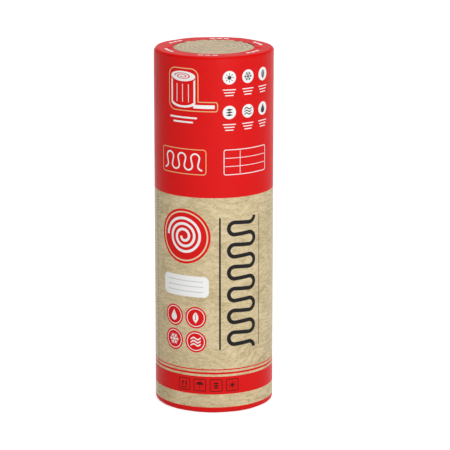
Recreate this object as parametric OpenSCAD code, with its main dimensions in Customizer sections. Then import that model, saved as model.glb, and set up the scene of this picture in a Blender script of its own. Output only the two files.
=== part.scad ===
// Mineral wool insulation roll: a mat wound up tight and stood on its end, in a
// film wrap that is turned in over both ends and leaves a round opening there.
// Millimetres, +Z up, origin at the centre of the face that the roll stands on.

/* [Wool roll] */
// Width of the mat, which is the height of the wool when the roll stands
mat_w = 1220; // [600:10:1500]
// Outside diameter of the wound wool
wool_d = 400; // [250:1:600]
// Rounding of the wool's outer edge at both ends
wool_edge_r = 9; // [4:0.5:20]
// Thickness of one layer of wool, as squeezed in the roll
layer_t = 15.5; // [10:0.5:40]
// Layers that are laid on each other and wound up together
layers = 2; // [1:1:3]
// Radius of the first, tightest half turn in the middle
eye_r = 12; // [8:0.5:40]
// Width of the gap line between two layers, where it opens at an end
gap_line_w = 3; // [1:0.5:6]
// Depth of the gap line below the end face
gap_line_depth = 4; // [1:0.5:10]

/* [Film wrap] */
// Thickness of the shrunk film
film_t = 0.2; // [0.1:0.05:1]
// Slack between the film and the wool
film_slack = 0.8; // [0.1:0.05:1]
// Width of the film that is turned in over each end
lip_w = 65.5; // [25:0.5:120]

/* [Hidden] */

wool_colour = [0.80, 0.73, 0.57];
film_colour = [0.85, 0.10, 0.11];
// Facets of the round shapes
$fn = 180;
// How far a cutting shape reaches past the face that it cuts
cut_past = 1;

wool_r = wool_d / 2;
film_build = film_t + film_slack;
film_r = wool_r + film_build;
film_h = mat_w + 2 * film_build;
film_edge_r = wool_edge_r + film_build;
opening_r = film_r - lip_w;

// Radius that the mat gains in half a turn
half_turn_gain = layers * layer_t / 2;
// The gap lines stay on the flat of the end, inside the rounded edge
gap_r_max = wool_r - wool_edge_r - gap_line_w - half_turn_gain / 2;
half_turns = floor((gap_r_max - eye_r) / half_turn_gain);

// Half of an upright section with two rounded outer corners, for turning about Z
module rounded_half(radius, height, corner_r) {
    square([radius - corner_r, height]);
    translate([0, corner_r])
        square([radius, height - 2 * corner_r]);
    for (z = [corner_r, height - corner_r])
        translate([radius - corner_r, z])
            circle(corner_r);
}

// One gap line: a spiral of half circles, each struck from one of two centres that
// lie half_turn_gain apart, so that each half turn runs on smoothly into the next
module gap_line(depth) {
    for (turn = [0 : half_turns])
        rotate(turn * 180)
            translate([-half_turn_gain / 2, 0])
                rotate_extrude(angle = 180)
                    translate([eye_r + turn * half_turn_gain - gap_line_w / 2, 0])
                        square([gap_line_w, depth]);
}

// The gap lines of all the layers that are wound up together
module turn_gaps() {
    for (layer = [0 : layers - 1])
        rotate(layer * 360 / layers)
            gap_line(gap_line_depth + cut_past);
}

module wool_roll() {
    color(wool_colour)
        translate([0, 0, film_build])
            difference() {
                rotate_extrude()
                    rounded_half(wool_r, mat_w, wool_edge_r);
                translate([0, 0, -cut_past])
                    turn_gaps();
                translate([0, 0, mat_w - gap_line_depth])
                    turn_gaps();
            }
}

module film_wrap() {
    color(film_colour)
        rotate_extrude()
            difference() {
                rounded_half(film_r, film_h, film_edge_r);
                translate([0, film_t])
                    rounded_half(film_r - film_t, film_h - 2 * film_t, film_edge_r - film_t);
                translate([0, -cut_past])
                    square([opening_r, film_h + 2 * cut_past]);
            }
}

wool_roll();
film_wrap();
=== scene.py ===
"""Dresses a packed roll of mineral wool: the wound wool with its turns on both ends, loose
fibres on them, and the printed film around it all.

Everything is in metres, +Z up, with the front of the print towards -Y.
"""

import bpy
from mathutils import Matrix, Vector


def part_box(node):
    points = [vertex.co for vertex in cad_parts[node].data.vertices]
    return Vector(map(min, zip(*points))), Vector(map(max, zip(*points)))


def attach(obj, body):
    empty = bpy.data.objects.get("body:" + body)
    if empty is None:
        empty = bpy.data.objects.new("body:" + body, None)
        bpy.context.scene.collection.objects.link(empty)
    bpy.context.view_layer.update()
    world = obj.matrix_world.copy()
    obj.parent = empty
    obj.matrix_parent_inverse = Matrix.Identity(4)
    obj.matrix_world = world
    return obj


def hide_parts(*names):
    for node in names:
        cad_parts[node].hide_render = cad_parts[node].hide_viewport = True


bl_info = {
    "name": "Insulation Roll",
    "version": (1, 0, 0),
    "blender": (4, 5, 0),
    "location": "View3D > Sidebar > Insulation Roll",
    "description": "Builds a roll of mineral wool in its printed film around the CAD frame",
    "category": "Add Mesh",
}

from functools import reduce
from math import asin, cos, hypot, pi, radians, sin, sqrt

import bmesh
import bpy
import numpy as np
from bpy.props import FloatProperty, FloatVectorProperty, IntProperty, PointerProperty
from mathutils import Vector

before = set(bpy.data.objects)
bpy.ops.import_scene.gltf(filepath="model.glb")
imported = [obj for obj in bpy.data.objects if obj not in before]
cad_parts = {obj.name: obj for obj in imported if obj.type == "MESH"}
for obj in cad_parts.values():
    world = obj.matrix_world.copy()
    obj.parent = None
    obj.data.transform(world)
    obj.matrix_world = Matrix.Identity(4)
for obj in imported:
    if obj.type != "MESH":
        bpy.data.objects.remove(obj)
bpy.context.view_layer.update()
FILM_LOW, FILM_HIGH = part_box("film_wrap")
WOOL_LOW, WOOL_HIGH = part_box("wool_roll")

FILM_R = max(FILM_HIGH.x, FILM_HIGH.y)
WOOL_R = max(WOOL_HIGH.x, WOOL_HIGH.y)

# Width of the film that is turned in over each end, and the radius of the opening that it leaves
LIP = 0.0655
OPENING = FILM_R - LIP

# Rows of points on the wool's ends lie close together out to the first radius, which is just under
# the film's lip, and wide apart from the second one on
RELIEF_R = 0.140
PRESSED_R = 0.148

# The two ends of the wool: a seed for the relief, and how far the end stands out. The lower
# one rests on the floor.
TOP_END = (11, 0.0004)
LOW_END = (12, -0.0012)

# The most that the wool stands proud of the film, and the room of the lower fibres over the floor
WOOL_PROUD = 0.004
FLOOR_ROOM = 0.0004

# Where the film's welded seam runs, from the front towards +X
SEAM_ANGLE = radians(152)

# The pieces' maps: one for baked textures, and the film's own print, in metres
BAKE_MAP = "OFBake"
PRINT_MAP = "print"


def number_property(name, description, default, unit="NONE"):
    return FloatProperty(name=name, description=description, default=default, unit=unit, precision=4)


def length_property(name, description, default):
    return number_property(name, description, default, "LENGTH")


def place_property(name, description, default):
    return FloatVectorProperty(
        name=name, description=description, default=default, subtype="TRANSLATION", unit="LENGTH", size=3
    )


def colour_property(name, description, default):
    return FloatVectorProperty(
        name=name, description=description, default=default, subtype="COLOR", size=3, min=0, max=1
    )


class WoolSettings(bpy.types.PropertyGroup):
    """The wound mat"""

    radius: length_property("Radius", "Outside radius of the wound wool", WOOL_R)
    edge: length_property("Edge rounding", "Rounding of the outer edge at both ends", 0.009)
    layer: length_property("Layer", "Thickness of one squeezed layer of the mat", 0.0155)
    eye: length_property("Eye", "Radius of the first half turn in the middle", 0.012)
    press: length_property("Press", "How far the lip of the film presses the wool down", 0.0026)
    press_zone: length_property("Press zone", "How far inside that lip the wool starts to sink", 0.0085)
    clear: length_property("Clearance", "How far the wool stays inside the waves of the film", 0.003)
    gap_depth: length_property("Gap depth", "Depth of the line between two layers", 0.0030)
    gap_half: length_property("Gap half width", "Half the width of that line where it is closed", 0.0008)
    gap_open: length_property("Gap opening", "How much wider half of it is where it is open", 0.0006)
    crown: length_property("Crown", "How far a layer bulges between two gap lines", 0.0008)
    uneven: length_property("Unevenness", "How far a layer may stand out from its neighbour", 0.0011)
    tone: colour_property("Tone", "Usual colour of the wool", (0.562, 0.455, 0.300))
    # Painted shade in the gaps between layers, and the darker fibres, which are partly the wool's own tone
    dark_tone_and_shade: colour_property("Shade", "Colour down in the gaps", (0.385, 0.306, 0.199))
    # The palest fibres are partly the wool's own tone, partly a painted highlight where they stand highest
    pale: colour_property("Pale", "Colour of the palest fibres", (0.740, 0.630, 0.455))


class FibreSettings(bpy.types.PropertyGroup):
    """The loose fibres on the ends of the wool"""

    count: IntProperty(name="Count", description="Loose fibres on each end", default=1600, min=0)
    length: length_property("Length", "Usual length of a fibre", 0.012)
    radius: length_property("Radius", "Radius of a fibre", 0.00016)
    reach: length_property("Reach", "How far from the middle the fibres lie", 0.128)


class FilmSettings(bpy.types.PropertyGroup):
    """The printed film"""

    radius: length_property("Radius", "Outside radius of the film", FILM_R)
    height: length_property("Height", "Height over both turned-in ends", FILM_HIGH.z - FILM_LOW.z)
    lip: length_property("Lip", "Width of the film that is turned in over each end", LIP)
    edge: length_property("Edge rounding", "Rounding where the film turns in", 0.010)
    curl: length_property("Curl", "Rounding of the opening's edge, which turns down", 0.0010)
    wall: length_property("Thickness", "Thickness of the film with its soft edge", 0.0003)
    slack: length_property("Slack", "How far the film waves on the side of the roll", 0.0008)
    flute: length_property("Flutes", "Height of the flutes below each rim", 0.0006)
    dent_top: length_property("Upper dents", "Depth of the dents along the upper rim", 0.0013)
    dent_low: length_property("Lower dents", "Depth of the dents along the lower rim", 0.0005)
    dome: length_property("Dome", "How far each lip falls away towards the rim", 0.0008)
    seam: length_property("Seam", "Height of the welded seam down the back", 0.0007)
    seam_half: length_property("Seam half width", "Half the width of that seam", 0.0055)
    pleat: length_property("Pleats", "Height of the gathers at the opening", 0.0011)
    settle: length_property("Settling", "How far the lip sinks towards the opening", 0.0010)
    waver: length_property("Wavering", "How far the opening's edge wavers from a circle", 0.0016)
    red: colour_property("Red", "The red ink", (0.735, 0.012, 0.012))
    # Painted shade: the upper rim's red is darker and deeper than the side's
    rim_shade_red: colour_property("Deep red", "The red ink, shrunk on the upper rim", (0.690, 0.0035, 0.0028))
    tan: colour_property("Tan", "The wool-coloured ground", (0.660, 0.535, 0.315))
    tan_dark: colour_property("Dark tan", "Shaded strands in the ground", (0.455, 0.362, 0.200))
    tan_pale: colour_property("Pale tan", "Bright strands in the ground", (0.785, 0.660, 0.435))
    charcoal: colour_property("Charcoal", "The dark ink", (0.020, 0.019, 0.020))
    grey: colour_property("Grey", "The dark ink over white", (0.055, 0.055, 0.058))
    white: colour_property("White", "The white ink", (0.92, 0.92, 0.91))
    cream: colour_property("Cream", "The cream outline ink", (0.82, 0.52, 0.25))
    maroon: colour_property("Maroon", "The dark ink over red", (0.085, 0.010, 0.010))


class StageSettings(bpy.types.PropertyGroup):
    """Camera, light and floor"""

    distance: length_property("Distance", "From the roll's axis to the camera, over the floor", 8.5)
    eye_height: length_property("Eye height", "Height of the camera above the floor", 2.7147)
    aim_height: length_property("Aim height", "Height of the point that the camera looks at", 0.6068)
    aim_side: length_property("Aim side", "How far that point lies to the right of the axis", 0.0377)
    lens: number_property("Lens", "Focal length of the camera", 206.0, "CAMERA")
    sensor: number_property("Sensor", "Width of the camera's sensor", 36.0, "CAMERA")
    key_power: number_property("Key power", "Power of the front light", 143.0, "POWER")
    key_size: length_property("Key size", "Side of the front light", 3.0)
    key_place: place_property("Key place", "Where the front light hangs", (1.9, -5.0, 2.1))
    top_power: number_property("Top power", "Power of the light from above", 23.0, "POWER")
    top_size: length_property("Top size", "Side of the light from above", 0.9)
    top_place: place_property("Top place", "Where the light from above hangs", (0.2, 0.4, 3.6))
    lit_height: length_property("Lit height", "Height on the axis that both lights point at", 0.6)
    world: number_property("World", "Strength of the even light all round", 0.55)
    zenith: number_property("Zenith", "Strength of the backdrop overhead, where it is seen", 0.15)
    floor: colour_property("Floor", "Colour of the floor", (0.68, 0.68, 0.68))
    glow: number_property("Glow", "White that is added to the floor where it is seen", 0.72)


# Readings: formulas in shader nodes


class Reading:
    """A number that varies over a surface. Shader nodes work it out, one for each step of its formula."""

    def __init__(self, tree, socket):
        self.tree = tree
        self.socket = socket

    def __add__(self, other):
        return calculate("ADD", self, other)

    def __sub__(self, other):
        return calculate("SUBTRACT", self, other)

    def __rsub__(self, other):
        return calculate("SUBTRACT", other, self)

    def __mul__(self, other):
        return calculate("MULTIPLY", self, other)

    def __truediv__(self, other):
        return calculate("DIVIDE", self, other)

    def __neg__(self):
        return calculate("MULTIPLY", self, -1.0)

    def __abs__(self):
        return calculate("ABSOLUTE", self)

    __radd__ = __add__
    __rmul__ = __mul__


def feed(tree, socket, value):
    """Gives a node's input a reading, another node's output or a plain value."""
    if isinstance(value, Reading):
        tree.links.new(value.socket, socket)
    elif isinstance(value, bpy.types.NodeSocket):
        tree.links.new(value, socket)
    else:
        socket.default_value = value


def calculate(operation, *values, clamp=False):
    """One step of a formula, with numbers or readings."""
    tree = next(value.tree for value in values if isinstance(value, Reading))
    node = tree.nodes.new("ShaderNodeMath")
    node.operation = operation
    node.use_clamp = clamp
    for socket, value in zip(node.inputs, values):
        feed(tree, socket, value)
    return Reading(tree, node.outputs[0])


def least(a, b):
    return calculate("MINIMUM", a, b)


def most(a, b):
    return calculate("MAXIMUM", a, b)


def span(x, y):
    return calculate("SQRT", x * x + y * y)


def nearest(x, pitch, first=None, last=None):
    """The number of the nearest mark in a row of marks a pitch apart, from first to last if given."""
    number = calculate("ROUND", x / pitch)
    if first is None:
        return number
    return most(least(number, last), first)


def repeated(x, pitch, first=None, last=None):
    """x measured from the nearest mark of such a row."""
    return x - nearest(x, pitch, first, last) * pitch


def eased(value, low, high):
    """0 below low, 1 above high and even between."""
    tree = value.tree
    node = tree.nodes.new("ShaderNodeMapRange")
    node.clamp = True
    feed(tree, node.inputs["Value"], value)
    node.inputs["From Min"].default_value = low
    node.inputs["From Max"].default_value = high
    return Reading(tree, node.outputs["Result"])


def parted(tree, vector):
    """The three readings of a vector socket."""
    node = tree.nodes.new("ShaderNodeSeparateXYZ")
    tree.links.new(vector, node.inputs[0])
    return [Reading(tree, socket) for socket in node.outputs]


def combined(tree, x, y, z):
    """A vector socket from three readings or numbers."""
    node = tree.nodes.new("ShaderNodeCombineXYZ")
    for socket, value in zip(node.inputs, (x, y, z)):
        feed(tree, socket, value)
    return node.outputs[0]


def object_place(tree):
    return tree.nodes.new("ShaderNodeTexCoord").outputs["Object"]


def stretched(tree, vector, scale):
    """A vector socket scaled by three factors, for a pattern that runs one way."""
    node = tree.nodes.new("ShaderNodeMapping")
    tree.links.new(vector, node.inputs["Vector"])
    node.inputs["Scale"].default_value = scale
    return node.outputs[0]


def raised(tree, vector, height):
    """A vector socket with a reading added to its height, so that a pattern on it sways up and down."""
    node = tree.nodes.new("ShaderNodeVectorMath")
    tree.links.new(vector, node.inputs[0])
    tree.links.new(combined(tree, 0.0, 0.0, height), node.inputs[1])
    return node.outputs[0]


def noise(tree, vector, scale, detail=4.0, roughness=0.55, distortion=0.0):
    """A noise pattern's reading on a vector socket."""
    node = tree.nodes.new("ShaderNodeTexNoise")
    tree.links.new(vector, node.inputs["Vector"])
    node.inputs["Scale"].default_value = scale
    node.inputs["Detail"].default_value = detail
    node.inputs["Roughness"].default_value = roughness
    node.inputs["Distortion"].default_value = distortion
    return Reading(tree, node.outputs["Fac"])


def blended(tree, factor, a, b):
    """A mix of two colours, each a node's output or three numbers."""
    mix = tree.nodes.new("ShaderNodeMix")
    mix.data_type = "RGBA"
    feed(tree, mix.inputs["Factor"], factor)
    for name, value in (("A", a), ("B", b)):
        feed(tree, mix.inputs[name], value if isinstance(value, bpy.types.NodeSocket) else (*value, 1.0))
    return mix.outputs["Result"]


def scaled(colour, factor):
    """A colour made darker or lighter by a factor."""
    return [min(1.0, factor * part) for part in colour]


def new_material(name):
    """A material with its node tree and its main shader."""
    material = bpy.data.materials.new(name)
    material.use_nodes = True
    return material, material.node_tree, material.node_tree.nodes["Principled BSDF"]


def bumped(tree, shader, height, distance, strength):
    """Raises a shader's surface by a height reading."""
    node = tree.nodes.new("ShaderNodeBump")
    feed(tree, node.inputs["Height"], height)
    node.inputs["Distance"].default_value = distance
    node.inputs["Strength"].default_value = strength
    tree.links.new(node.outputs[0], shader.inputs["Normal"])


def seen_rays(tree):
    """1 for the rays that show a backdrop: straight from the camera, mirrored or through glass."""
    rays = tree.nodes.new("ShaderNodeLightPath").outputs
    names = ("Is Camera Ray", "Is Glossy Ray", "Is Transmission Ray")
    return reduce(most, [Reading(tree, rays[name]) for name in names])


# Flat shapes. Each gives the distance to its outline, which is below zero inside it.


def joined(shapes):
    """The union of shapes, taken one at a time."""
    return reduce(least, shapes)


def within(a, b):
    """The part of shape a that lies in shape b."""
    return most(a, b)


def cut(a, b):
    """Shape a with shape b cut out of it."""
    return most(a, -b)


def disc(x, y, radius):
    return span(x, y) - radius


def oval(x, y, across, up):
    """An oval of half sizes across and up."""
    return (span(x / across, y / up) - 1.0) * min(across, up)


def slab(x, y, across, up, corner=0.0):
    """A box of half sizes across and up, with round corners."""
    over_x = abs(x) - (across - corner)
    over_y = abs(y) - (up - corner)
    outside = span(most(over_x, 0.0), most(over_y, 0.0))
    return outside + least(most(over_x, over_y), 0.0) - corner


def stroke(distance, width):
    """A line of that width along an outline."""
    return abs(distance) - width / 2


def bar(x, y, start, end, width):
    """A straight line with round ends."""
    (x0, y0), (x1, y1) = start, end
    run, rise = x1 - x0, y1 - y0
    long = hypot(run, rise)
    run, rise = run / long, rise / long
    along = (x - x0) * run + (y - y0) * rise
    past = along - most(least(along, long), 0.0)
    aside = (x - x0) * -rise + (y - y0) * run
    return span(past, aside) - width / 2


def short_rules(x, y, count, pitch, half_long, step, half_thick, end):
    """Rules under each other, each shorter than the one above it by a step at both ends.

    The first one lies where y is 0. Past half the length of a rule, x is measured from its end.
    """
    row = nearest(y, pitch, 1 - count, 0)
    past = most(abs(x) - (half_long + row * step), 0.0)
    return slab(past, y - row * pitch, end, half_thick, end)


def fanned(x, y, blades):
    """The point turned into the nearest of several like sectors around the middle."""
    sector = 2 * pi / blades
    turn = repeated(calculate("ARCTAN2", y, x), sector)
    far = span(x, y)
    return far * calculate("COSINE", turn), far * calculate("SINE", turn)


def coil(x, y, pitch, width, turns):
    """A spiral line, where the radius less a pitch for each turn is near a whole number of pitches."""
    unwound = span(x, y) - calculate("ARCTAN2", y, x) * (pitch / (2 * pi))
    return stroke(repeated(unwound, pitch, 1, turns), width)


def loops(x, y, period, reach, bulb):
    """The drafting sign for soft insulation: round bulbs, up and down by turns, along a centre line.

    Bulbs of one radius sit a period apart on each side. The straight that joins an upper bulb to a
    lower one crosses the centre line a quarter period along and touches both. reach is half the
    height over all, and the result is the distance from the line.
    """
    rise = reach - bulb
    quarter = period / 4
    far = hypot(quarter, rise)
    straight = sqrt(far * far - bulb * bulb)
    lean = asin(bulb / far)
    to_x, to_y = -quarter / far, rise / far
    way_x = to_x * cos(lean) + to_y * sin(lean)
    way_y = to_y * cos(lean) - to_x * sin(lean)

    def half(along, up):
        """The distance from one bulb and from half a straight on each side of it."""
        run = (along - quarter) * way_x + up * way_y
        aside = abs((along - quarter) * way_y - up * way_x)
        arc = abs(span(along, up - rise) - bulb)
        on_arc = calculate("GREATER_THAN", run, straight)
        behind = calculate("LESS_THAN", run, 0.0)
        return aside + on_arc * (arc - aside) + behind * period

    folded = abs(repeated(x, period))
    return least(half(folded, y), half(period / 2 - folded, -y))


# Small signs, drawn to fill a square from -1 to 1


def drop_sign(x, y):
    """A round drop under a cone that just touches it."""
    low, round_r, tip = -0.32, 0.62, 1.0
    lean = asin(round_r / (tip - low))
    cone = abs(x) * cos(lean) + (y - tip) * sin(lean)
    return least(disc(x, y - low, round_r), most(cone, low + round_r * sin(lean) - y))


def leaf_sign(x, y):
    """Two round edges that meet in points, with a rib cut out of the middle, on a short stalk."""
    edge_out, edge_r, rib = 0.62, 1.12, 0.06
    blade = within(disc(x - edge_out, y, edge_r), disc(x + edge_out, y, edge_r))
    return least(cut(blade, slab(x, y - 0.1, rib, 0.55)), slab(x, y + 0.9, rib, 0.12))


def wave_sign(x, y):
    """Three wavy lines."""
    lifted = y + calculate("SINE", x * 4.4) * 0.17
    return within(stroke(repeated(lifted, 0.56, -1, 1), 0.26), abs(x) - 0.92)


def frost_sign(x, y):
    """Six arms, each with two twigs."""
    along, aside = fanned(x, y, 6)
    arm = bar(along, aside, (0, 0), (0.92, 0), 0.17)
    return least(arm, bar(along, abs(aside), (0.48, 0), (0.76, 0.27), 0.14))


def sun_sign(x, y):
    """A disc with eight rays."""
    along, aside = fanned(x, y, 8)
    return least(disc(x, y, 0.44), slab(along - 0.78, aside, 0.17, 0.08))


def layers_sign(x, y):
    """Three flat diamonds above each other."""
    flat = abs(repeated(y, 0.56, -1, 1))
    return (abs(x) * 0.30 + flat - 0.245) * 0.95


def arrows_sign(x, y):
    """Two arrows up from a line."""
    side = abs(x) - 0.45
    head = most(abs(side) * 0.82 + (y - 0.8) * 0.57, 0.25 - y)
    shaft = slab(side, y + 0.1, 0.12, 0.45)
    return joined((head, shaft, slab(x, y + 0.85, 0.85, 0.09)))


def shelter_sign(x, y):
    """A dome with three scallops cut out below, on a stick."""
    dome = most(disc(x, y + 0.05, 0.9), -0.05 - y)
    scallop = disc(repeated(x, 0.6, -1, 1), y + 0.17, 0.3)
    return least(cut(dome, scallop), slab(x, y + 0.35, 0.07, 0.5))


def placed(sign, x, y, half):
    """A sign that reaches half its size either way from its middle."""
    return sign(x / half, y / half) * half


# The print

# Bands of the ground: the height at which each one ends, from the floor up. Red follows the last.
BANDS = (
    ("red", 0.0205),
    ("tan", 0.0670),
    ("red", 0.1297),
    ("tan", 0.1375),
    ("red", 0.1445),
    ("tan", 0.1516),
    ("red", 0.1556),
    ("tan", 0.7475),
)

# Places on the printed panel: across from its middle, and up from the floor. The first three
# are those of the first sign in a row or grid, and the others are middles.
SIGN_GRID = (0.052, 1.020)
BADGES = (-0.147, 0.250)
HANDLING_MARKS = (-0.105, 0.0985)
ROLL_PICTURE = (-0.108, 1.110)
LOOP_BOX = (-0.112, 0.868)
BLANK_TABLE = (0.118, 0.868)
ROUNDEL = (-0.105, 0.612)
LABEL = (-0.105, 0.441)
LOOP_STRIP = (0.098, 0.4515)
TEAR_STRIP = (-0.2452, 0.61)

# Softness of a printed edge, and the usual width of a printed outline
INK_EDGE = 0.0004
OUTLINE = 0.0026


class Sheet:
    """The film's print: inks laid over each other, on the film's own map in metres."""

    def __init__(self, tree, inks):
        self.tree = tree
        self.inks = inks
        self.colour = None
        source = tree.nodes.new("ShaderNodeUVMap")
        source.uv_map = PRINT_MAP
        self.around, self.up, _ = parted(tree, source.outputs[0])
        self.panel = repeated(self.around, pi * inks.radius)

    def at(self, x, z):
        """The point measured from a place on the panel, which comes twice around the roll."""
        return self.panel - x, self.up - z

    def lay(self, ink, distance, strength=1.0):
        """Lays an ink, by its name or as a node's output, where the distance is below zero."""
        cover = calculate("MULTIPLY_ADD", distance, -0.5 / INK_EDGE, 0.5, clamp=True)
        if strength != 1.0:
            cover = cover * strength
        colour = getattr(self.inks, ink) if isinstance(ink, str) else ink
        self.colour = blended(self.tree, cover, self.colour, colour)

    def lay_signs(self, ink, signs, columns, first, pitch, half):
        """Lays signs in rows of so many columns, a pitch apart, from the first place on."""
        for number, sign in enumerate(signs):
            x = first[0] + number % columns * pitch[0]
            z = first[1] + number // columns * pitch[1]
            self.lay(ink, placed(sign, *self.at(x, z), half))


def strand_ground(tree, place, inks):
    """The wool-coloured ground: long and fine strands that sway, soft clouds and a few dark specks."""
    sway = (noise(tree, place, scale=6.5, detail=1.0) - 0.5) * 0.11
    swayed = raised(tree, place, sway)
    long_way = stretched(tree, swayed, (0.62, 0.62, 2.5))
    fine_way = stretched(tree, swayed, (1.0, 1.0, 3.5))
    strands = noise(tree, long_way, scale=36.0, detail=6.0, roughness=0.72, distortion=0.8)
    fine = noise(tree, fine_way, scale=105.0, detail=5.0, roughness=0.76, distortion=0.7)
    clouds = noise(tree, place, scale=7.0, detail=3.0, roughness=0.5, distortion=0.5)
    depth = strands * 0.42 + clouds * 0.14 + fine * 0.44
    ground = blended(tree, eased(depth, 0.413, 0.504), inks.tan_dark, inks.tan)
    ground = blended(tree, eased(depth, 0.496, 0.588), ground, inks.tan_pale)
    speck_way = stretched(tree, place, (1.0, 1.0, 1.5))
    specks = noise(tree, speck_way, scale=88.0, detail=3.0, roughness=0.6)
    return blended(tree, eased(specks, 0.64, 0.74) * 0.7, ground, scaled(inks.tan_dark, 0.62))


def red_ground(sheet, place):
    """The red ground: a little uneven in density, with painted shade along the upper rim, where the red is
    deeper.
    """
    tree, inks = sheet.tree, sheet.inks
    density = noise(tree, place, scale=45.0)
    red = blended(tree, density, scaled(inks.red, 0.96), scaled(inks.red, 1.04))
    past_rim = sheet.up - (inks.height - inks.edge)
    # Painted shade: a deeper red just past where the upper rim starts to turn in
    shade_painted = eased(past_rim, 0.000, 0.005) * (1.0 - eased(past_rim, 0.011, 0.017))
    return blended(tree, shade_painted, red, inks.rim_shade_red)


def lay_ground(sheet):
    """The bands of red and of wool-coloured strands, from the floor up to the top."""
    place = object_place(sheet.tree)
    ground = strand_ground(sheet.tree, place, sheet.inks)
    sheet.colour = red_ground(sheet, place)
    low = 0.0
    for ink, high in BANDS:
        if ink == "tan":
            sheet.lay(ground, abs(sheet.up - (low + high) / 2) - (high - low) / 2)
        low = high


def lay_roll_picture(sheet):
    """A roll with its loose end, in white with a cream outline, over two short rules."""
    x, y = sheet.at(*ROLL_PICTURE)
    wide, tall, flat, hollow_flat, line, margin = 0.046, 0.044, 0.017, 0.016, 0.006, 0.0095
    tail_half, tail_out, folds_down, rules_down = 0.036, 0.075, 0.012, 0.094
    tail_x, tail_y = x - tail_out, y + tall + flat - line
    body_outline = slab(x, y, wide + margin, tall + flat + margin, corner=0.026)
    tail_outline = slab(tail_x, tail_y, tail_half + margin, line + margin, corner=0.008)
    sheet.lay("cream", stroke(least(body_outline, tail_outline), width=0.0030))
    top = oval(x, y - tall, wide, flat)
    turns = coil(x / wide, (y - tall) / flat, pitch=0.27, width=0.11, turns=2) * flat
    sheet.lay("white", cut(top, turns))
    body = least(oval(x, y + tall, wide, flat), slab(x, y, wide, tall))
    hollow = least(oval(x, y + tall - line, wide - line, hollow_flat), slab(x, y, wide - line, tall))
    under_top = oval(x, y - tall + line, wide, flat)
    tail = slab(tail_x, tail_y, tail_half, line, corner=0.002)
    sheet.lay("white", least(cut(cut(body, hollow), under_top), tail))
    folds = stroke(repeated(x, pitch=0.022, first=-1, last=1), width=0.0024)
    sheet.lay("white", within(folds, slab(x, y + folds_down, across=0.030, up=0.030)))
    rules = short_rules(
        x, y + rules_down, count=2, pitch=0.015, half_long=0.050, step=0.014, half_thick=0.0028, end=0.002
    )
    sheet.lay("white", rules)


def lay_sign_grid(sheet):
    """White discs in a grid, each with a grey sign and short rules under it."""
    signs = (layers_sign, wave_sign, drop_sign, sun_sign, frost_sign, leaf_sign)
    columns, rows, pitch_x, pitch_y = 3, 2, 0.068, 0.116
    disc_up, rules_down = 0.016, 0.0245
    x, y = sheet.at(*SIGN_GRID)
    x = repeated(x, pitch_x, 0, columns - 1)
    y = repeated(y, pitch_y, 0, rows - 1)
    sheet.lay("white", disc(x, y - disc_up, radius=0.0225))
    rules = short_rules(
        x, y + rules_down, count=3, pitch=0.0095, half_long=0.021, step=0.004, half_thick=0.0016, end=0.0014
    )
    sheet.lay("white", rules)
    first = (SIGN_GRID[0], SIGN_GRID[1] + disc_up)
    sheet.lay_signs("grey", signs, columns, first, (pitch_x, pitch_y), half=0.0158)


def lay_loop_box(sheet):
    """A cream frame that holds a short run of insulation loops in white."""
    x, y = sheet.at(*LOOP_BOX)
    sheet.lay("cream", stroke(slab(x, y, across=0.086, up=0.042, corner=0.010), OUTLINE))
    run = stroke(loops(x, y, period=0.049, reach=0.0275, bulb=0.0148), width=0.0052)
    sheet.lay("white", within(run, slab(x, y, across=0.0735, up=0.032)))


def lay_blank_table(sheet):
    """A blank table: a frame, two rules across and one down."""
    x, y = sheet.at(*BLANK_TABLE)
    row, thin, down_x = 0.028, 0.0018, -0.028
    outline = stroke(slab(x, y, across=0.084, up=0.042, corner=0.006), OUTLINE)
    rows = stroke(repeated(y - row / 2, row, first=-1, last=0), thin)
    rows = within(rows, slab(x, y, across=0.080, up=0.020))
    down = within(stroke(x - down_x, thin), slab(x, y, across=0.080, up=0.038))
    sheet.lay("white", joined((outline, rows, down)))


def lay_roundel(sheet):
    """A red disc with a pale ring, holding a white spiral of turns."""
    x, y = sheet.at(*ROUNDEL)
    sheet.lay("red", disc(x, y, radius=0.094))
    sheet.lay("tan_pale", stroke(disc(x, y, radius=0.0835), width=0.0048))
    sheet.lay("white", coil(x, y, pitch=0.0190, width=0.0090, turns=3))


def lay_write_on_label(sheet):
    """A blank white label with three faint rules to write on."""
    x, y = sheet.at(*LABEL)
    sheet.lay("white", slab(x, y, across=0.088, up=0.036, corner=0.018))
    rules = stroke(repeated(y, pitch=0.018, first=-1, last=1), width=0.0024)
    sheet.lay("charcoal", within(rules, slab(x, y, across=0.068, up=0.030)), strength=0.4)


def lay_badges(sheet):
    """Four red discs, two by two, each with a white ring and a white sign."""
    signs = (frost_sign, wave_sign, drop_sign, leaf_sign)
    columns, pitch = 2, 0.084
    x, y = (repeated(part, pitch, 0, columns - 1) for part in sheet.at(*BADGES))
    sheet.lay("red", disc(x, y, radius=0.0375))
    sheet.lay("white", stroke(disc(x, y, radius=0.0305), OUTLINE))
    sheet.lay_signs("white", signs, columns, BADGES, (pitch, pitch), half=0.0195)


def lay_loop_strip(sheet):
    """A tall strip of bold insulation loops in charcoal, between a thick and a thin rule."""
    x, y = sheet.at(*LOOP_STRIP)
    half_tall = 0.228
    run = stroke(loops(y, x, period=0.0760, reach=0.0480, bulb=0.0208), width=0.0135)
    sheet.lay("charcoal", within(run, abs(y) - half_tall))
    for rule_x, half_wide in ((-0.078, 0.0030), (0.072, 0.0012)):
        sheet.lay("charcoal", slab(x - rule_x, y, half_wide, half_tall))


def lay_handling_marks(sheet):
    """Outlined squares with handling marks on the lower red band."""
    signs = (arrows_sign, shelter_sign, layers_sign, sun_sign)
    pitch, half_box = 0.056, 0.0205
    x, y = sheet.at(*HANDLING_MARKS)
    box = slab(repeated(x, pitch, 0, len(signs) - 1), y, half_box, half_box, corner=0.004)
    sheet.lay("maroon", stroke(box, OUTLINE))
    sheet.lay_signs("maroon", signs, len(signs), HANDLING_MARKS, (pitch, 0.0), half=0.0145)


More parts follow.
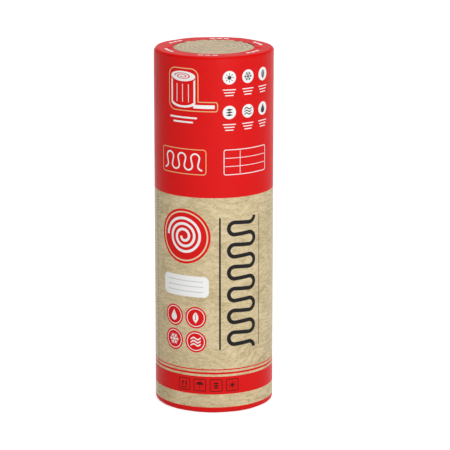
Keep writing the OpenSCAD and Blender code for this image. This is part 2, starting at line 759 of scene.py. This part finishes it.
def lay_tear_strip(sheet):
    """A ladder of short dashes along the strip where the film is torn open."""
    x, y = sheet.at(*TEAR_STRIP)
    half_tall = 0.575
    dash = slab(x, repeated(y, pitch=0.0094), across=0.0078, up=0.0014)
    sheet.lay("charcoal", within(dash, abs(y) - half_tall), strength=0.62)


def lay_lip_marks(sheet):
    """Groups of three white dashes around both turned-in lips, halfway across them."""
    inks = sheet.inks
    rim_end = inks.height - inks.edge + inks.edge * pi / 2
    upper = rim_end + (inks.lip - inks.edge) / 2
    mean_r, turned = inks.radius * 0.8, 0.12
    group = repeated(sheet.around / inks.radius + turned, pitch=radians(60)) * mean_r
    dash = repeated(group, pitch=0.0235, first=-1, last=1)
    for middle in (upper, inks.height - upper):
        sheet.lay("white", slab(dash, sheet.up - middle, across=0.0092, up=0.0048, corner=0.0015))


# Materials


def film_material(film):
    """Satin film: the print, a little haze, and fine wrinkles that run up and down."""
    material, tree, shader = new_material("printed_film")
    sheet = Sheet(tree, film)
    lay_ground(sheet)
    lay_roll_picture(sheet)
    lay_sign_grid(sheet)
    lay_loop_box(sheet)
    lay_blank_table(sheet)
    lay_roundel(sheet)
    lay_write_on_label(sheet)
    lay_badges(sheet)
    lay_loop_strip(sheet)
    lay_handling_marks(sheet)
    lay_tear_strip(sheet)
    lay_lip_marks(sheet)
    tree.links.new(sheet.colour, shader.inputs["Base Color"])
    place = object_place(tree)
    haze = noise(tree, place, scale=7.0, detail=3.0)
    feed(tree, shader.inputs["Roughness"], haze * 0.14 + 0.30)
    crease_way = stretched(tree, place, (1.0, 1.0, 0.45))
    creases = noise(tree, crease_way, scale=26.0, roughness=0.5, distortion=0.7)
    grain = noise(tree, place, scale=210.0, detail=2.0)
    bumped(tree, shader, creases + grain * 0.08, distance=0.0009, strength=0.45)
    shader.inputs["IOR"].default_value = 1.45
    shader.inputs["Specular IOR Level"].default_value = 0.065
    return material


def wool_material(wool):
    """Matt wool: laminated and fibrous along its turns, painted shade in the gaps, pale stray fibres partly
    a painted highlight.

    The gap lines are half circles about two centres one layer apart, one for each side of the X axis.
    """
    material, tree, shader = new_material("mineral_wool")
    place = object_place(tree)
    x, y, _ = parted(tree, place)
    far = span(x + calculate("SIGN", y) * (wool.layer / 2), y)
    angle = calculate("ARCTAN2", y, x)
    to_gap = abs(repeated((far - wool.eye) / wool.layer, 1.0)) * wool.layer
    wander = noise(tree, place, scale=60.0, detail=3.0)
    gap = 1.0 - eased(to_gap + (wander - 0.5) * 0.003, 0.0002, 0.0022)

    def wound(across, along):
        """A place for a pattern on the winding, with so many waves a metre across and a radian along."""
        return combined(
            tree, far * across, calculate("COSINE", angle) * along, calculate("SINE", angle) * along
        )

    sheets = noise(tree, wound(420.0, 5.0), scale=1.0, roughness=0.6, distortion=0.4)
    threads = noise(tree, wound(1300.0, 24.0), scale=1.0, roughness=0.65, distortion=1.2)
    tufts = noise(tree, place, scale=85.0, detail=6.0, roughness=0.68, distortion=0.9)
    fluff = noise(tree, place, scale=620.0, roughness=0.7, distortion=1.0)
    depth = sheets * 0.26 + threads * 0.34 + tufts * 0.22 + fluff * 0.18
    # Low places in the fibres' relief take the darker colour: partly the wool's own tone, partly painted
    # shade
    tone = blended(tree, eased(depth, 0.36, 0.50), wool.dark_tone_and_shade, wool.tone)
    # High places in that relief take the palest colour: partly the wool's own tone, partly a painted
    # highlight
    tone = blended(tree, eased(threads * 0.5 + fluff * 0.5, 0.50, 0.66), tone, wool.pale)
    # Painted shade down in the gap lines between the layers
    tone = blended(tree, gap * 0.4, tone, wool.dark_tone_and_shade)
    tree.links.new(tone, shader.inputs["Base Color"])
    feed(tree, shader.inputs["Roughness"], fluff * 0.1 + 0.88)
    shader.inputs["Specular IOR Level"].default_value = 0.15
    shader.inputs["Sheen Weight"].default_value = 0.25
    shader.inputs["Sheen Roughness"].default_value = 0.6
    relief = sheets * 0.4 + threads * 0.5 + tufts * 0.4 + fluff * 0.4
    bumped(tree, shader, relief, distance=0.0012, strength=0.6)
    return material


def floor_material(stage):
    """A pale floor that keeps the roll's shadow and reads as white from the camera."""
    material, tree, shader = new_material("pale_floor")
    shader.inputs["Base Color"].default_value = (*stage.floor, 1.0)
    shader.inputs["Roughness"].default_value = 0.9
    shader.inputs["Specular IOR Level"].default_value = 0.0
    backing = tree.nodes.new("ShaderNodeEmission")
    feed(tree, backing.inputs["Strength"], seen_rays(tree) * stage.glow)
    both = tree.nodes.new("ShaderNodeAddShader")
    tree.links.new(shader.outputs[0], both.inputs[0])
    tree.links.new(backing.outputs[0], both.inputs[1])
    tree.links.new(both.outputs[0], tree.nodes["Material Output"].inputs["Surface"])
    return material


# Meshes worked out as whole arrays


def face_piece(name, points, corners, sizes, material, maps):
    """A smooth object from points, the corners of all its faces in a row, and the faces' sizes.

    Points that lie in one place are merged into one vertex.
    """
    mesh = bpy.data.meshes.new(name)
    mesh.vertices.add(points.size // 3)
    mesh.vertices.foreach_set("co", points.astype(np.float32).ravel())
    mesh.loops.add(corners.size)
    mesh.loops.foreach_set("vertex_index", corners.astype(np.int32))
    mesh.polygons.add(sizes.size)
    mesh.polygons.foreach_set("loop_start", (np.cumsum(sizes) - sizes).astype(np.int32))
    mesh.update(calc_edges=True)
    for title, places in maps.items():
        layer = mesh.uv_layers.new(name=title)
        layer.uv.foreach_set("vector", places.astype(np.float32).ravel())
    solid = bmesh.new()
    solid.from_mesh(mesh)
    bmesh.ops.remove_doubles(solid, verts=solid.verts, dist=1e-7)
    solid.to_mesh(mesh)
    solid.free()
    mesh.polygons.foreach_set("use_smooth", np.ones(len(mesh.polygons), dtype=bool))
    mesh.materials.append(material)
    mesh.validate()
    piece = bpy.data.objects.new(name, mesh)
    bpy.context.scene.collection.objects.link(piece)
    return piece


def grid_piece(name, points, material, maps, closed_rows=False):
    """An object from a grid of points, rows by columns, whose columns run on into the first one.

    maps gives the corners' places on each UV map, as arrays of rows by columns that have one column
    more, and one row more where the rows close too.
    """
    rows, columns = points.shape[:2]
    steps = rows if closed_rows else rows - 1
    row, column = np.meshgrid(np.arange(steps), np.arange(columns), indexing="ij")
    corner_rows = np.stack([row, row + 1, row + 1, row], -1)
    corner_columns = np.stack([column, column, column + 1, column + 1], -1)
    corners = (corner_rows % rows) * columns + corner_columns % columns
    chosen = {title: places[corner_rows, corner_columns] for title, places in maps.items()}
    return face_piece(name, points, corners.ravel(), np.full(corners.size // 4, 4), material, chosen)


def flat_map(across, up):
    """A UV map for a grid, with its columns at the places across and its rows at the places up."""
    return np.stack(np.meshgrid(across, up), -1)


def smooth_step(value, low, high):
    """0 below low and 1 above high, with an even S between."""
    t = np.clip((value - low) / (high - low), 0.0, 1.0)
    return t * t * (3 - 2 * t)


def ripples(rng, waves, low, high):
    """Random plane waves: waves around the axis, a wave number along it, a phase and a share of the sum."""
    turns = rng.integers(low, high + 1, waves)
    along = rng.normal(0.0, 6.0, waves)
    phase = rng.uniform(0.0, 2 * pi, waves)
    share = rng.uniform(0.4, 1.0, waves)
    return list(zip(turns, along, phase, share / share.sum()))


def rippled(angle, height, waves):
    """The sum of those waves: each is the cosine of its waves around times the angle, plus its wave
    number times the height, plus its phase."""
    return sum(
        share * np.cos(turns * angle + along * height + phase) for turns, along, phase, share in waves
    )


# The film


def film_section(film, lip_rows, rim_rows, side_rows):
    """The film's section, from the upper opening over the rim and down the side to the lower opening.

    Each row is a centre plus an arc's radius times its outward direction: a curl at the opening's
    edge, the flat lip, the rim and the side, down to mid height. The rest is their mirror image.
    The result is columns: the radius, the height, the outward direction's two parts, the length
    along the section, which is the true height on the side, and the end, 1 above and -1 below.
    """
    curl_rows = 4
    rim_r, top = film.radius - film.edge, film.height / 2
    curl_r = film.radius - film.lip + film.curl
    stretches = (
        (curl_r, top - film.curl, film.curl, np.linspace(-pi / 2, 0, curl_rows)[:-1]),
        (np.linspace(curl_r, rim_r, lip_rows)[:-1], top, 0.0, 0.0),
        (rim_r, top - film.edge, film.edge, np.linspace(0, pi / 2, rim_rows)),
        (film.radius, np.linspace(top - film.edge, 0, side_rows)[1:], 0.0, pi / 2),
    )
    rows = [np.stack(np.broadcast_arrays(*stretch)) for stretch in stretches]
    centre_r, centre_z, arc, turn = np.concatenate(rows, axis=1)
    out_r, out_z = np.sin(turn), np.cos(turn)
    radius, height = centre_r + arc * out_r, centre_z + arc * out_z
    steps = np.hypot(np.diff(radius), np.diff(height))
    length = np.append(np.cumsum(steps[::-1])[::-1], 0.0)
    half = np.stack([radius, height, out_r, out_z, length, np.sign(height)])
    mirrored = half[:, -2::-1] * np.array([1, -1, 1, -1, -1, -1])[:, None]
    radius, height, out_r, out_z, length, end = np.concatenate([half, mirrored], axis=1)[:, :, None]
    return radius, height + top, out_r, out_z, length + top, end


def film_relief(film, angle, height, length, end):
    """How far the film stands off its plain section, how far its edge wavers, and how far it falls.

    It stands off by long waves on the side, by flutes that die away below each rim, by shallow dents
    along the rims, by gathers that grow towards the opening and by the seam, a ridge with a bell
    shape. The edge of the opening wavers from a circle. Each lip falls away towards its rim.
    """
    rng = np.random.default_rng(7)
    past_rim = np.abs(length - film.height / 2) - (film.height / 2 - film.edge)
    gather_start, side_end, rim_half, flute_reach = 0.020, 0.012, 0.030, 0.110
    dent_middle, dent_half = 0.006, 0.016
    gather = smooth_step(past_rim, gather_start, film.lip)
    on_side = smooth_step(-past_rim, -side_end, rim_half)
    near_rim = smooth_step(-past_rim, -rim_half, 0.0) * (1 - smooth_step(-past_rim, 0.0, flute_reach))
    on_rim = np.exp(-((past_rim - dent_middle) / dent_half) ** 2)
    # Heights of their own give the patterns on the two ends phases of their own
    long_waves = rippled(angle, height, ripples(rng, waves=14, low=2, high=9))
    flutes = rippled(angle, 0.6 * end, ripples(rng, waves=16, low=16, high=46))
    dents = np.clip(2.2 * rippled(angle, 0.9 * end, ripples(rng, waves=10, low=3, high=11)), -1.0, 0.35)
    pleats = 2.4 * np.abs(rippled(angle, 1.7 * end, ripples(rng, waves=22, low=18, high=58))) - 0.35
    edge_waves = rippled(angle, 2.3 * end, ripples(rng, waves=9, low=2, high=14))
    from_seam = (np.mod(angle - SEAM_ANGLE + pi, 2 * pi) - pi) * film.radius
    off = film.slack * on_side * long_waves + film.flute * near_rim * flutes
    off = off + np.where(end > 0, film.dent_top, film.dent_low) * on_rim * dents
    off = off + (film.pleat * pleats - film.settle) * gather
    off = off + film.seam * np.exp(-((from_seam / film.seam_half) ** 2))
    fallen = film.dome * smooth_step(past_rim, -rim_half, 0.0) * (1 - smooth_step(past_rim, 0.0, film.lip))
    return off, film.waver * gather * edge_waves, fallen * end


def film_points(film, angle, counts, inset):
    """One wall of the film as points, rows by columns, with the length along the section of each row.

    The section is carried round the axis. Each point moves along its outward direction by the relief
    less the inset, and stays above the floor.
    """
    radius, height, out_r, out_z, length, end = film_section(film, *counts)
    off, waver, fallen = film_relief(film, angle, height, length, end)
    r = radius + (off - inset) * out_r + waver
    z = np.maximum(height + (off - inset) * out_z - fallen, FILM_LOW.z + inset)
    return np.stack([r * np.sin(angle), -r * np.cos(angle), z], -1), length[:, 0]


def build_film(film):
    """The film as one closed skin: its outer wall from the upper opening to the lower one, and its
    inner wall back."""
    columns, outer_counts, inner_counts = 420, (20, 12, 44), (9, 6, 10)
    outer_share, inner_share = 0.97, 0.975
    angle = np.linspace(-pi, pi, columns, endpoint=False)[None, :]
    outer, outer_v = film_points(film, angle, outer_counts, 0.0)
    inner, inner_v = film_points(film, angle, inner_counts, film.wall)
    around = np.linspace(-pi, pi, columns + 1) * film.radius
    printed = flat_map(around, np.concatenate([outer_v, inner_v[::-1], outer_v[:1]]))
    outer_up = outer_share * (outer_v[0] - outer_v) / np.ptp(outer_v)
    inner_up = np.linspace(inner_share, 1.0, len(inner_v) + 1)
    baked = flat_map(np.linspace(0, 1, columns + 1), np.concatenate([outer_up, inner_up]))
    points = np.concatenate([outer, inner[::-1]])
    maps = {BAKE_MAP: baked, PRINT_MAP: printed}
    piece = grid_piece("printed_film", points, film_material(film), maps, closed_rows=True)
    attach(piece, "root")
    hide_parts("film_wrap")


# The wool


def turn_place(x, y, wool):
    """Where a point lies among the wound layers.

    The layers' gap lines are half circles about two centres one layer apart, one centre for each side
    of the X axis. The result is the number of layers out from the eye, the way along the winding in
    half turns, and which of the two layers of the mat it is.
    """
    side = np.where(y >= 0, 1.0, -1.0)
    from_centre = x + side * wool.layer / 2
    count = (np.hypot(from_centre, y) - wool.eye) / wool.layer
    along = np.floor(count) + np.arctan2(side * y, side * from_centre) / pi
    family = (np.floor(count) + (side < 0)) % 2
    return count, along, family


def tuft_height(x, y, rng):
    """Tufts as a sum of random plane waves from 40 mm down to 4 mm long, each as high as it is long."""
    height = np.zeros_like(x)
    for wave in np.geomspace(0.040, 0.004, 60):
        way = rng.uniform(0, 2 * pi)
        height += wave * np.cos(2 * pi / wave * (x * cos(way) + y * sin(way)) + rng.uniform(0, 2 * pi))
    return height


def end_relief(x, y, wool, seed, stand):
    """The height of an end of the wool over its flat face.

    Each layer is a soft crown between two gap lines, which open and close along the winding. A layer
    stands out more or less as it winds on, by a sum of six cosines, and tufts lie over all. The end
    stands out by a given height, but under the film's lip it is pressed down.
    """
    # A sum of six cosines seldom passes this peak, and a tuft is as high as this share of its length
    waves, peak, tuft_share = 6, 3.2, 0.007
    rng = np.random.default_rng(seed)
    count, along, family = turn_place(x, y, wool)
    line = np.round(count)
    angle = np.arctan2(y, x)
    opened = 0.62 + 0.38 * np.cos(3 * angle + 2.1 * line) * np.cos(5 * angle - 0.7 * line)
    aside = np.abs(count - line) * wool.layer
    groove = opened * np.exp(-((aside / (wool.gap_half + wool.gap_open * opened)) ** 2))
    crown = 1 - (2 * np.abs(count - np.floor(count) - 0.5)) ** 4
    phase = rng.uniform(0, 2 * pi, (2, waves))
    pace = rng.uniform(0.35, 2.2, (2, waves))
    winding = [
        np.where(family == layer, np.cos(pace[layer, wave] * along + phase[layer, wave]), 0)
        for layer in (0, 1)
        for wave in range(waves)
    ]
    r = np.hypot(x, y)
    outside_eye = smooth_step(r, wool.eye * 0.6, wool.eye * 1.3)
    relief = stand + wool.crown * crown - wool.gap_depth * groove * outside_eye
    relief = relief + wool.uneven * sum(winding) / peak + tuft_share * tuft_height(x, y, rng)
    pressed = smooth_step(r, OPENING - wool.press_zone, OPENING)
    return relief * (1 - pressed) - wool.press * pressed


def wool_section(wool):
    """The wool's section as columns, from the middle of the top to the middle of the bottom.

    The result is the radius, the height, and the rows of the upper and the lower end.
    """
    top_rows, low_rows, pressed_rows, edge_rows, side_rows = 180, 76, 5, 6, 8
    outer = wool.radius - wool.clear
    flat_r = outer - wool.edge
    pressed = np.linspace(PRESSED_R, flat_r, pressed_rows)
    upper, lower = (np.append(np.linspace(0, RELIEF_R, rows), pressed) for rows in (top_rows, low_rows))
    turn = np.linspace(0, pi / 2, edge_rows)[1:]
    edge_r, edge_drop = flat_r + wool.edge * np.sin(turn), wool.press + wool.edge * (1 - np.cos(turn))
    upper_z, lower_z = WOOL_HIGH.z - edge_drop, WOOL_LOW.z + edge_drop[::-1]
    side_z = np.linspace(upper_z[-1], lower_z[0], side_rows)[1:-1]
    radius = np.concatenate([upper, edge_r, np.full(side_z.shape, outer), edge_r[::-1], lower[::-1]])
    flat_z = np.full(upper.shape, WOOL_HIGH.z), np.full(lower.shape, WOOL_LOW.z)
    height = np.concatenate([flat_z[0], upper_z, side_z, lower_z, flat_z[1]])
    ends = slice(0, len(upper)), slice(len(radius) - len(lower), None)
    return radius[:, None], height[:, None], *ends


def wool_map(wool, radius, columns, top, low):
    """The wool's places for baked textures: each end is a disc in a quarter of the map, side by side
    above, and the side of the roll is a strip below them."""
    quarter, margin = 0.25, 0.01
    angle = np.linspace(-pi, pi, columns + 1)[None, :]
    far = (quarter - margin) * radius / wool.radius
    places = np.stack([quarter + far * np.sin(angle), 3 * quarter - far * np.cos(angle)], -1)
    places[low, :, 0] += 2 * quarter
    side = slice(top.stop, low.start)
    up = np.linspace(2 * (quarter - margin), margin, len(places[side]))
    places[side] = flat_map(np.linspace(margin, 1 - margin, columns + 1), up)
    return places


def build_wool(wool):
    """The wound wool: its section carried round the axis, with the relief of the turns on both ends."""
    columns = 320
    angle = np.linspace(-pi, pi, columns, endpoint=False)[None, :]
    radius, height, top, low = wool_section(wool)
    x, y = radius * np.sin(angle), -radius * np.cos(angle)
    z = np.repeat(height, columns, axis=1)
    z[top] += end_relief(x[top], y[top], wool, *TOP_END)
    z[low] -= end_relief(x[low], y[low], wool, *LOW_END)
    z = np.clip(z, FILM_LOW.z, FILM_HIGH.z + WOOL_PROUD)
    maps = {BAKE_MAP: wool_map(wool, radius, columns, top, low)}
    piece = grid_piece("wound_wool", np.stack([x, y, z], -1), wool_material(wool), maps)
    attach(piece, "root")
    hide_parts("wool_roll")


# The loose fibres


def fibre_curves(wool, fibres, t):
    """The middle lines of the fibres, as points at the shares t of their length, and their ways.

    Each is a curve of second degree that runs mostly along the winding and bends to one side. It
    starts and stops just below the wool, and arches a little above it. The first half of them lie on
    the upper end, and the rest on the lower one.
    """
    way_spread, bend_spread, shortest, longest = 0.55, 0.35, 0.5, 1.3
    arch_low, arch_high, sunk, bend_middle = 0.0004, 0.0022, 0.35, 0.6
    rng = np.random.default_rng(23)
    column = (2 * fibres.count, 1)
    r = fibres.reach * np.sqrt(rng.uniform(0, 1, column))
    at = rng.uniform(-pi, pi, column)
    way = at + pi / 2 + rng.normal(0, way_spread, column)
    long = fibres.length * rng.uniform(shortest, longest, column)
    bend = rng.normal(0, bend_spread, column)
    arch = rng.uniform(arch_low, arch_high, column)
    hump = 4 * t * (1 - t)
    along = (t - 0.5) * long
    across = (hump - bend_middle) * bend * long
    x = r * np.cos(at) + along * np.cos(way) - across * np.sin(way)
    y = r * np.sin(at) + along * np.sin(way) + across * np.cos(way)
    upper = np.arange(column[0])[:, None] < fibres.count
    face = np.where(upper, end_relief(x, y, wool, *TOP_END), end_relief(x, y, wool, *LOW_END))
    lift = face.mean(axis=1, keepdims=True) + (hump - sunk) * arch
    z = np.where(upper, WOOL_HIGH.z + lift, np.maximum(WOOL_LOW.z - lift, FILM_LOW.z + FLOOR_ROOM))
    return np.stack([x, y, z], -1), way


def tube_points(middle, way, thick, sides):
    """Tubes around middle lines. A ring is a level and an upright direction across the line, times the
    cosine and the sine of the angle, and times the tube's radius there."""
    turn = np.linspace(0, 2 * pi, sides, endpoint=False)[:, None]
    level = np.concatenate([-np.sin(way), np.cos(way), 0 * way], axis=1)[:, None, None, :]
    ring = level * np.cos(turn) + np.array([0.0, 0.0, 1.0]) * np.sin(turn)
    return middle[:, :, None, :] + thick[:, None, None] * ring


def tube_faces(count, rings, sides):
    """The faces of closed tubes, as corners in a row, their sizes, and the corners' places on a map.

    Each tube has walls of four corners and two tips, and a square cell of the map to itself.
    """
    ring, side = np.meshgrid(np.arange(rings - 1), np.arange(sides), indexing="ij")
    start = (np.arange(count) * rings * sides)[:, None, None]
    side_steps, ring_steps = np.array([0, 1, 1, 0]), np.array([0, 0, 1, 1])
    wall_rings, wall_sides = ring[..., None] + ring_steps, side[..., None] + side_steps
    walls = start + (wall_rings * sides + wall_sides % sides).reshape(-1, 4)
    first = start + np.arange(sides)[::-1]
    last = start + (rings - 1) * sides + np.arange(sides)
    corners = np.concatenate([walls.ravel(), first.ravel(), last.ravel()])
    sizes = np.concatenate([np.full(walls.size // 4, 4), np.full(2 * count, sides)])
    cells, margin = int(np.ceil(np.sqrt(count))), 0.1
    number = np.arange(count)
    cell = np.stack([number % cells, number // cells], -1)[:, None, :] + margin
    inside = np.stack([wall_sides / sides, wall_rings / (rings - 1)], -1).reshape(-1, 2)
    wall_places = (cell + (1 - 2 * margin) * inside) / cells
    tip_places = (cell + np.array([[0.0, 0.0], [0.2, 0.0], [0.0, 0.2]])) / cells
    places = [part.reshape(-1, 2) for part in (wall_places, tip_places, tip_places)]
    return corners, sizes, np.concatenate(places)


def build_fibres(wool, fibres):
    """Loose fibres on both ends: thin tubes with three sides, whose radius is a half wave of a sine."""
    rings, sides, tip = 6, 3, 0.12
    t = np.linspace(0, 1, rings)
    middle, way = fibre_curves(wool, fibres, t)
    thick = fibres.radius * np.clip(np.sin(pi * t), tip, 1.0)
    points = tube_points(middle, way, thick, sides)
    corners, sizes, places = tube_faces(len(middle), rings, sides)
    material = bpy.data.materials["mineral_wool"]
    piece = face_piece("wool_fibres", points, corners, sizes, material, {BAKE_MAP: places})
    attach(piece, "root")


# The stage


def point_at(holder, target):
    """Turns a camera or a lamp towards a point."""
    holder.rotation_euler = (Vector(target) - holder.location).to_track_quat("-Z", "Y").to_euler()


def add_camera(stage):
    """The camera, in front of the roll and above it."""
    scene = bpy.context.scene
    camera = bpy.data.objects.new("camera", bpy.data.cameras.new("camera"))
    scene.collection.objects.link(camera)
    camera.data.lens = stage.lens
    camera.data.sensor_width = stage.sensor
    camera.data.clip_end = 200.0
    camera.location = (0.0, -stage.distance, stage.eye_height)
    point_at(camera, (stage.aim_side, 0.0, stage.aim_height))
    scene.camera = camera


def add_floor(stage):
    """A flat disc: rings of points around the origin."""
    sides = 64
    rings = np.array([0.0, 1.5, 6.0, 60.0])[:, None]
    turn = np.linspace(0, 2 * pi, sides, endpoint=False)[None, :]
    points = np.stack([rings * np.sin(turn), -rings * np.cos(turn), 0 * rings * turn], -1)
    grid_piece("floor", points, floor_material(stage), {})


def add_lamp(name, power, size, place, stage):
    """A square lamp that points at the roll's axis."""
    lamp = bpy.data.lights.new(name, "AREA")
    lamp.energy = power
    lamp.size = size
    holder = bpy.data.objects.new(name, lamp)
    bpy.context.scene.collection.objects.link(holder)
    holder.location = place
    point_at(holder, (0.0, 0.0, stage.lit_height))


def light_world(stage):
    """An even light, with a backdrop that is white at eye level and dim overhead where it is seen."""
    world = bpy.data.worlds.new("studio")
    bpy.context.scene.world = world
    world.use_nodes = True
    tree = world.node_tree
    backdrop = tree.nodes["Background"]
    backdrop.inputs["Color"].default_value = (1.0, 1.0, 1.0, 1.0)
    height = parted(tree, tree.nodes.new("ShaderNodeTexCoord").outputs["Generated"])[2]
    white_to, dim_from = 0.08, 0.45
    sky = 1.0 - eased(height, white_to, dim_from) * (1.0 - stage.zenith)
    feed(tree, backdrop.inputs["Strength"], seen_rays(tree) * (sky - stage.world) + stage.world)


def build_stage(stage):
    """The camera at the photograph's angle, a pale floor, and soft light from the front right and above."""
    bpy.context.scene.view_settings.view_transform = "Standard"
    add_camera(stage)
    add_floor(stage)
    add_lamp("key", stage.key_power, stage.key_size, stage.key_place, stage)
    add_lamp("top", stage.top_power, stage.top_size, stage.top_place, stage)
    light_world(stage)


# The add-on


class INSULATION_OT_stage(bpy.types.Operator):
    """Set up the camera, the floor and the studio light"""

    bl_idname = "insulation.stage"
    bl_label = "Set Up Stage"

    def execute(self, context):
        build_stage(context.scene.insulation_stage)
        return {"FINISHED"}


class INSULATION_OT_wool(bpy.types.Operator):
    """Build the wound wool with the relief of its turns on both ends"""

    bl_idname = "insulation.wool"
    bl_label = "Wind Wool"

    def execute(self, context):
        build_wool(context.scene.insulation_wool)
        return {"FINISHED"}


class INSULATION_OT_fibres(bpy.types.Operator):
    """Strew loose fibres over both ends of the wool"""

    bl_idname = "insulation.fibres"
    bl_label = "Strew Fibres"

    def execute(self, context):
        build_fibres(context.scene.insulation_wool, context.scene.insulation_fibres)
        return {"FINISHED"}


class INSULATION_OT_film(bpy.types.Operator):
    """Wrap the roll in its printed film"""

    bl_idname = "insulation.film"
    bl_label = "Wrap Film"

    def execute(self, context):
        build_film(context.scene.insulation_film)
        return {"FINISHED"}


class INSULATION_PT_sidebar(bpy.types.Panel):
    """The roll's steps and settings"""

    bl_idname = "INSULATION_PT_sidebar"
    bl_label = "Insulation Roll"
    bl_space_type = "VIEW_3D"
    bl_region_type = "UI"
    bl_category = "Insulation Roll"

    def draw(self, context):
        for operator, settings in (
            (INSULATION_OT_stage, context.scene.insulation_stage),
            (INSULATION_OT_wool, context.scene.insulation_wool),
            (INSULATION_OT_fibres, context.scene.insulation_fibres),
            (INSULATION_OT_film, context.scene.insulation_film),
        ):
            box = self.layout.box()
            box.operator(operator.bl_idname)
            for name in settings.__annotations__:
                box.prop(settings, name)


SETTINGS = {
    "insulation_stage": StageSettings,
    "insulation_wool": WoolSettings,
    "insulation_fibres": FibreSettings,
    "insulation_film": FilmSettings,
}
CLASSES = (
    *SETTINGS.values(),
    INSULATION_OT_stage,
    INSULATION_OT_wool,
    INSULATION_OT_fibres,
    INSULATION_OT_film,
    INSULATION_PT_sidebar,
)


def register():
    for item in CLASSES:
        bpy.utils.register_class(item)
    for name, settings in SETTINGS.items():
        setattr(bpy.types.Scene, name, PointerProperty(type=settings))


def unregister():
    for name in SETTINGS:
        delattr(bpy.types.Scene, name)
    for item in reversed(CLASSES):
        bpy.utils.unregister_class(item)


def main():
    register()
    bpy.ops.insulation.stage()
    bpy.ops.insulation.wool()
    bpy.ops.insulation.fibres()
    bpy.ops.insulation.film()


if __name__ == "__main__":
    main()
